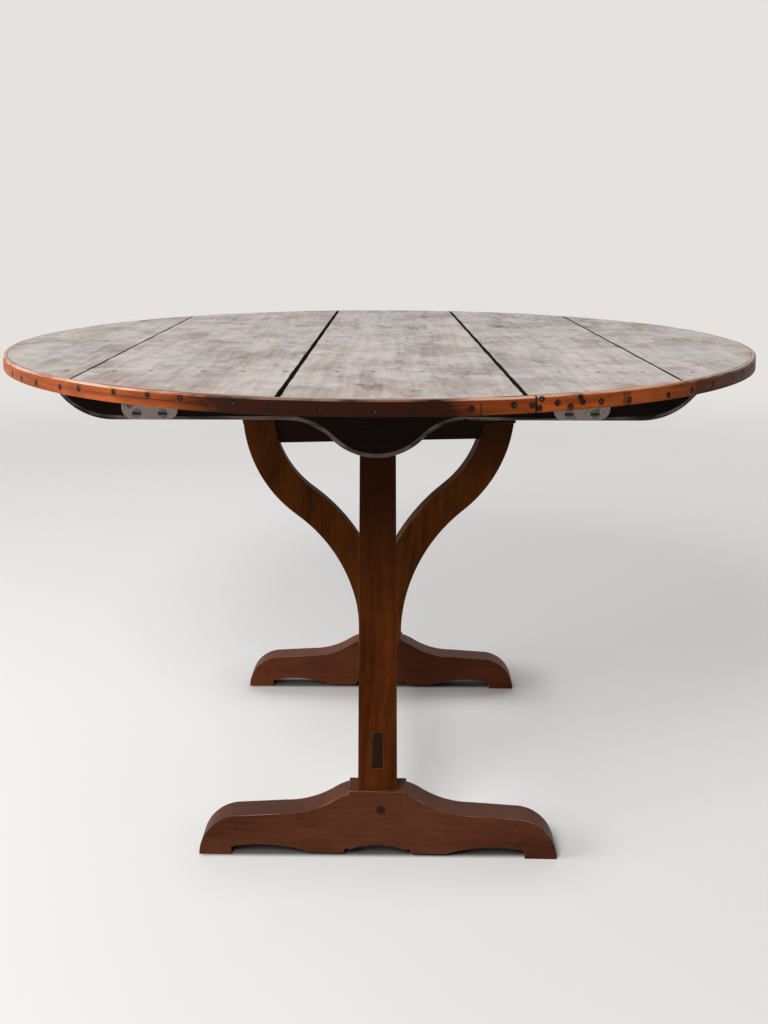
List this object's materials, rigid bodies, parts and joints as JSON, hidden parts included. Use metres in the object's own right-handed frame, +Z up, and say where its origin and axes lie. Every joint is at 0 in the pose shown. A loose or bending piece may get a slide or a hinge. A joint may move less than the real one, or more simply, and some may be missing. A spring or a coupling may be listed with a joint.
{
  "type": "tilt-top table",
  "caption": "round tilt-top wine tasting table on a trestle base, with a swinging lyre support that locks the plank top level",
  "frame": {"origin": "on the floor, under the middle of the top", "axes": "+Z up, +Y away from the near side shown in the picture, +X to its right"},
  "size_m": [1.19, 1.19, 0.728],
  "materials": {
    "board_wood": "old waxed planks, dark grey-brown",
    "band_wood": "varnished bentwood strip, reddish orange-brown",
    "batten_wood": "very dark stained wood",
    "lyre_wood": "waxed orange-brown wood",
    "post_wood": "waxed dark brown wood",
    "foot_wood": "waxed reddish dark brown wood with worn arrises",
    "peg_wood": "dark end-grain pegs",
    "nail_iron": "dark forged iron",
    "plate_steel": "dull grey folded plate"
  },
  "bodies": {
    "base": {"near_foot": "foot_wood", "far_foot": "foot_wood", "near_post": "post_wood", "far_post": "post_wood", "stretcher": "post_wood", "beam": "post_wood", "foot_pegs": "peg_wood", "beam_pegs": "peg_wood"},
    "top": {"board_1": "board_wood", "board_2": "board_wood", "board_3": "board_wood", "board_4": "board_wood", "board_5": "board_wood", "edge_band": "band_wood", "near_batten": "batten_wood", "middle_batten": "batten_wood", "far_batten": "batten_wood", "rest_blocks": "batten_wood", "angle_plates": "plate_steel", "plate_screws": "nail_iron", "top_nails": "nail_iron", "band_nails": "nail_iron"},
    "lyre": {"lyre_left_arm": "lyre_wood", "lyre_right_arm": "lyre_wood", "lyre_rail": "lyre_wood", "lyre_pegs": "peg_wood", "lower_pin": "nail_iron", "upper_pin": "nail_iron", "pivot_washer": "nail_iron"}
  },
  "joints": [
    {"name": "top_tilt", "type": "hinge", "parent": "base", "child": "top", "pos_m": [0, 0, 0.641], "axis": [0, 1, 0], "range_deg": [0, 85]},
    {"name": "lyre_swing", "type": "hinge", "parent": "base", "child": "lyre", "pos_m": [0, 0, 0.205], "axis": [0, 0, 1], "range_deg": [0, 93.5]}
  ],
  "couplings": [
    {"joint": "lyre_swing", "follows": "top_tilt", "ratio": 1.1}
  ]
}
